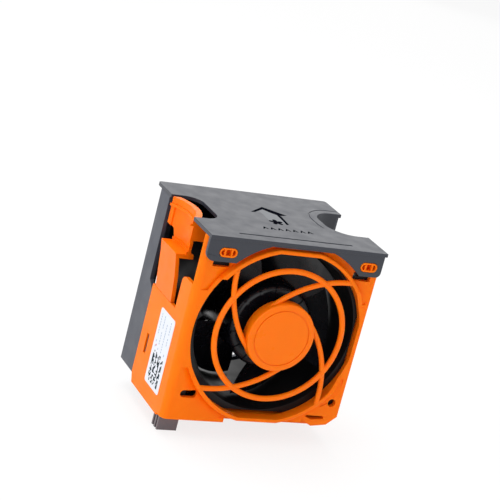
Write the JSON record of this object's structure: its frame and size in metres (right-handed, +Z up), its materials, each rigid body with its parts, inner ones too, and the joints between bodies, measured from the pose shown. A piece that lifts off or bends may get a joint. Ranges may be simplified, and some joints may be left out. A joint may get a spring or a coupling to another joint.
{
  "type": "server fan module",
  "caption": "Hot-swap axial fan module for a 2U server: front guard with spiral fingers, sprung side latch, top cover, rear housing, ball-bearing motor and bottom plug.",
  "frame": {"origin": "centre of the top cover's footprint, on the underside of the floor", "axes": "+X to the right seen from the inlet, +Y along the airflow from inlet to outlet, +Z up towards the cover"},
  "size_m": [0.0686, 0.0533, 0.0749],
  "materials": {
    "orange_moulding": "satin moulded",
    "grey_cover": "fine spark texture",
    "grey_housing": "fine spark texture",
    "black_frame": "satin",
    "black_impeller": "semi-gloss",
    "plated_steel": "zinc plated",
    "bonded_magnet": "matt",
    "ground_steel": "ground",
    "spring_steel": "blued",
    "brass_sleeve": "turned",
    "laminations": "stamped",
    "enamelled_copper": "enamelled",
    "insulator_nylon": "satin",
    "board_laminate": "satin",
    "chip_epoxy": "satin",
    "plug_nylon": "satin",
    "contact_plating": "bright",
    "lead_red": "satin",
    "lead_black": "satin",
    "lead_yellow": "satin",
    "lead_blue": "satin",
    "mount_rubber": "matt",
    "label_paper": "satin film"
  },
  "bodies": {
    "module": {"front_guard": "orange_moulding", "finger_guard": "orange_moulding", "top_cover": "grey_cover", "rear_housing": "grey_housing", "fan_frame": "black_frame", "front_bearing": "ground_steel", "rear_bearing": "ground_steel", "bearing_sleeve": "brass_sleeve", "stator_core": "laminations", "stator_windings": "enamelled_copper", "front_insulator": "insulator_nylon", "rear_insulator": "insulator_nylon", "circuit_board": "board_laminate", "board_parts": "chip_epoxy", "plug_housing": "plug_nylon", "plug_contacts": "contact_plating", "lead_supply": "lead_red", "lead_return": "lead_black", "lead_tachometer": "lead_yellow", "lead_control": "lead_blue", "rubber_mounts": "mount_rubber", "side_label": "label_paper"},
    "rotor": {"impeller": "black_impeller", "rotor_cup": "plated_steel", "rotor_magnet": "bonded_magnet", "shaft": "ground_steel", "retaining_ring": "spring_steel", "preload_spring": "spring_steel", "bearing_inner_rings": "ground_steel"},
    "latch": {"release_latch": "orange_moulding"}
  },
  "joints": [
    {"name": "rotor_spin", "type": "hinge", "parent": "module", "child": "rotor", "pos_m": [0.0013, 0, 0.0353], "axis": [0, 1, 0], "continuous": true},
    {"name": "latch_press", "type": "hinge", "parent": "module", "child": "latch", "pos_m": [-0.0319, 0, 0.0373], "axis": [0, 1, 0], "range_deg": [0, 6.5], "stiffness_Nm_per_rad": 0.8}
  ]
}
